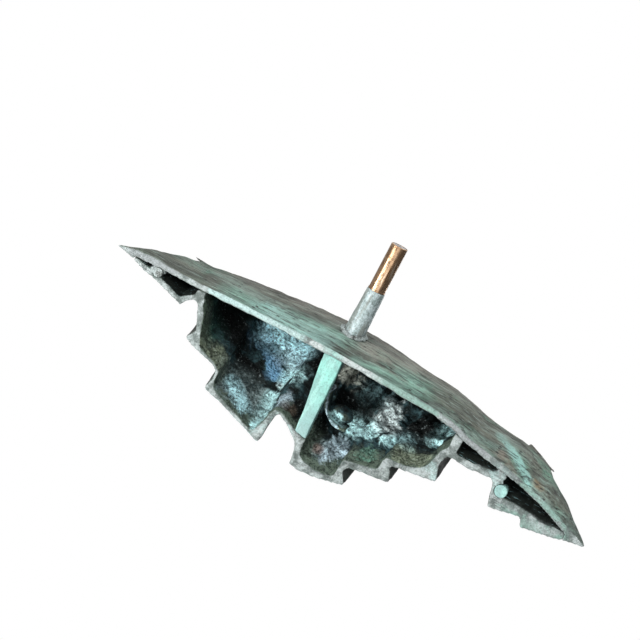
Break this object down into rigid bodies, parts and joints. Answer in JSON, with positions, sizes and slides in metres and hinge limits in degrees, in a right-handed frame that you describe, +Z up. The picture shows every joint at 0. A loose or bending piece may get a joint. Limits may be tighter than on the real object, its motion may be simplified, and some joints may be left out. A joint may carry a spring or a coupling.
{
  "type": "kinetic wind sculpture vane",
  "caption": "Hollow cast-bronze wind vane with a stepped open side and a rib, turning on a spindle in a bearing bush.",
  "frame": {"origin": "on the spindle's axis, at the top face of the bearing bush", "axes": "+Z up along the spindle in its working position, -Z out of the bush's lower end into a stand's socket, +X towards the slim lead end, -Y out of the open face"},
  "size_m": [0.619, 0.1138, 0.2725],
  "materials": {
    "verdigris_bronze": "cast bronze with a streaked grey-green patina",
    "mint_patina": "cast bronze with a bright mint patina",
    "pale_patina": "worn pale grey-green patina on bronze rod",
    "weld_bead": "rough bronze weld, patinated",
    "sleeve_bronze": "blue-grey mottled patina",
    "bush_bronze": "turned and polished, lightly scratched",
    "steel": "turned, lightly oiled"
  },
  "bodies": {
    "bush": {"bearing_bush": "bush_bronze", "thrust_washer": "bush_bronze"},
    "vane": {"spindle_rod": "steel", "spindle_sleeve": "sleeve_bronze", "sleeve_weld": "weld_bead", "retaining_washer": "steel", "retaining_screw": "steel", "rib_gusset": "verdigris_bronze", "inner_hood": "verdigris_bronze", "centre_rib": "mint_patina", "lead_web": "verdigris_bronze", "slot_web": "verdigris_bronze", "tail_web": "verdigris_bronze", "lead_rod": "pale_patina", "tail_rod": "pale_patina", "lead_belly": "verdigris_bronze", "mid_belly": "verdigris_bronze", "tail_belly": "verdigris_bronze", "lead_tip": "verdigris_bronze", "tail_tip": "verdigris_bronze", "lead_plate": "verdigris_bronze", "lead_wall": "verdigris_bronze", "lead_step_1": "verdigris_bronze", "lead_step_2": "verdigris_bronze", "foot_plate": "verdigris_bronze", "tail_step_1": "verdigris_bronze", "tail_step_2": "verdigris_bronze", "tail_step_3": "verdigris_bronze", "slot_plate": "verdigris_bronze", "tail_wall": "verdigris_bronze", "tail_plate": "verdigris_bronze", "lead_spine": "verdigris_bronze", "mid_spine": "verdigris_bronze", "tail_spine": "verdigris_bronze"}
  },
  "joints": [
    {"name": "vane_spin", "type": "hinge", "parent": "bush", "child": "vane", "pos_m": [0, 0, 0], "axis": [0, 0, 1], "continuous": true}
  ]
}
